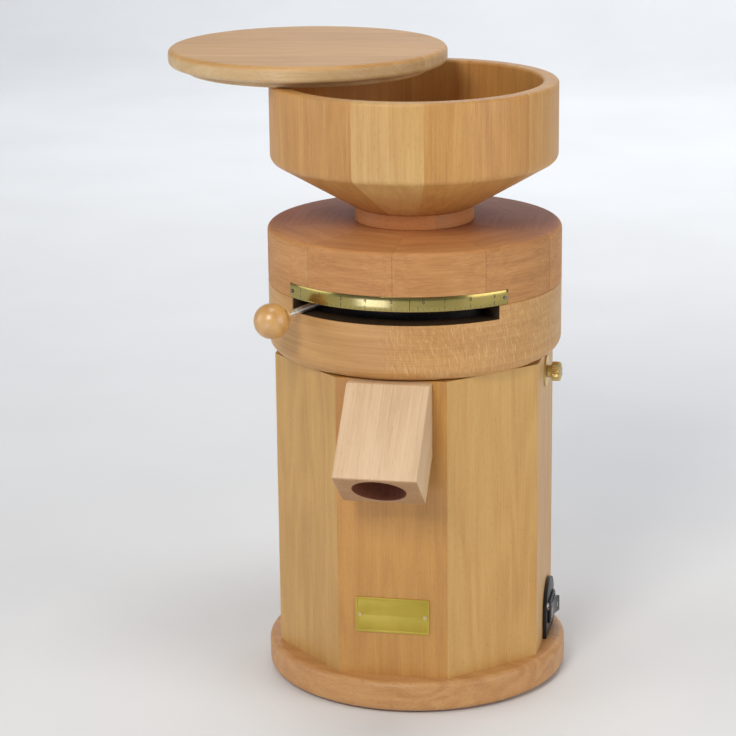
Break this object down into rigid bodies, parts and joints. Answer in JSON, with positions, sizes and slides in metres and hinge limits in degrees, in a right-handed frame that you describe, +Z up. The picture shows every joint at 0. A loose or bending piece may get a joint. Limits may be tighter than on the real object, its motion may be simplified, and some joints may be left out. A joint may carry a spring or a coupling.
{
  "type": "electric grain mill",
  "caption": "Table-top grain mill: eight-sided wooden motor body, round drum head with lever-set millstones, wooden hopper with loose lid, slanted flour spout and side rocker switch.",
  "frame": {"origin": "centre of the plane on which the rubber feet stand, on the mill's vertical axis", "axes": "+Z up along the mill's axis, -Y towards the front, where the flour spout is, +X towards the side with the switch"},
  "size_m": [0.2832, 0.285, 0.4348],
  "materials": {
    "wood_body": "oiled beech, vertical grain, satin",
    "wood_drum": "oiled beech, horizontal grain and end grain, satin",
    "wood_hopper": "oiled beech staves, vertical grain, satin",
    "wood_pale": "pale oiled beech, satin",
    "wood_knob": "lacquered turned beech",
    "plywood": "birch plywood",
    "brass": "polished brass",
    "steel": "turned steel",
    "black_plastic": "satin black moulded plastic",
    "rubber": "matt black rubber",
    "white_plastic": "moulded polyamide",
    "lead": "insulated flexible wire",
    "cast_aluminium": "cast and turned aluminium",
    "iron": "stacked electrical steel",
    "copper": "enamelled copper winding",
    "stone": "matt sintered corundum",
    "felt": "pressed wool felt"
  },
  "bodies": {
    "housing": {"rubber_feet": "rubber", "base_disc": "wood_body", "base_screws": "steel", "vent_grille": "black_plastic", "grille_screws": "steel", "body_shell": "wood_body", "motor_deck": "plywood", "chamber_pan": "cast_aluminium", "shaft_seal": "felt", "outlet_spout": "wood_pale", "spout_screws": "steel", "label_plate": "brass", "plate_pins": "brass", "clamp_insert": "brass", "switch_plate": "black_plastic", "switch_plate_screws": "steel", "switch_body": "black_plastic", "rocker_pin": "steel", "switch_tabs": "brass", "cable_gland": "black_plastic", "gland_nut": "black_plastic", "terminal_block": "white_plastic", "internal_leads": "lead", "run_capacitor": "cast_aluminium", "capacitor_clip": "steel", "motor_housing": "cast_aluminium", "motor_top_cap": "cast_aluminium", "motor_bottom_cap": "cast_aluminium", "motor_screws": "steel", "motor_tie_bolts": "steel", "stator_core": "iron", "stator_windings": "copper", "upper_bearing": "steel", "lower_bearing": "steel"},
    "rotor": {"motor_shaft": "steel", "rotor_core": "iron", "cooling_fan": "black_plastic", "flinger_plate": "steel", "lower_millstone": "stone", "stone_nut": "brass"},
    "head": {"chamber_ring": "wood_drum", "lower_drum": "wood_drum", "upper_drum": "wood_drum", "drum_screws": "steel", "brass_scale": "brass", "scale_pins": "steel", "inlet_tube": "steel", "hopper_neck": "wood_hopper", "hopper": "wood_hopper", "guide_pins": "steel", "wave_spring": "steel"},
    "lever": {"adjusting_ring": "steel", "lever_rod": "steel", "lever_knob": "wood_knob"},
    "stone_holder": {"stone_carrier": "cast_aluminium", "upper_millstone": "stone"},
    "lid": {"hopper_lid": "wood_pale"},
    "rocker": {"switch_rocker": "black_plastic"},
    "clamp_thread": {"clamp_stem": "steel"},
    "clamp_grip": {"clamp_knob": "brass"}
  },
  "joints": [
    {"name": "rotor_spin", "type": "hinge", "parent": "housing", "child": "rotor", "pos_m": [0, 0, 0.13], "axis": [0, 0, 1], "continuous": true},
    {"name": "head_lift", "type": "slide", "parent": "housing", "child": "head", "axis": [0, 0, 1], "range_m": [0, 0.1]},
    {"name": "lever_turn", "type": "hinge", "parent": "head", "child": "lever", "pos_m": [0, 0, 0.274], "axis": [0, 0, 1], "range_deg": [-3.5, 80.5]},
    {"name": "stone_lift", "type": "slide", "parent": "head", "child": "stone_holder", "axis": [0, 0, 1], "range_m": [-0.00004, 0.00101], "deforming": ["wave_spring"]},
    {"name": "lid_lift", "type": "slide", "parent": "head", "child": "lid", "axis": [0, 0, 1], "range_m": [0, 0.08]},
    {"name": "rocker_tilt", "type": "hinge", "parent": "housing", "child": "rocker", "pos_m": [0.09188, 0.0135, 0.04], "axis": [0, 0, 1], "range_deg": [0, 18]},
    {"name": "clamp_slide", "type": "slide", "parent": "housing", "child": "clamp_thread", "axis": [1, 0, 0], "range_m": [0, 0.002]},
    {"name": "clamp_turn", "type": "hinge", "parent": "clamp_thread", "child": "clamp_grip", "pos_m": [0.098, 0, 0.218], "axis": [1, 0, 0], "range_deg": [0, 720]}
  ],
  "couplings": [
    {"joint": "lever_turn", "follows": "stone_lift", "rad_per_m": 1396.3},
    {"joint": "clamp_turn", "follows": "clamp_slide", "rad_per_m": 6283.2}
  ]
}
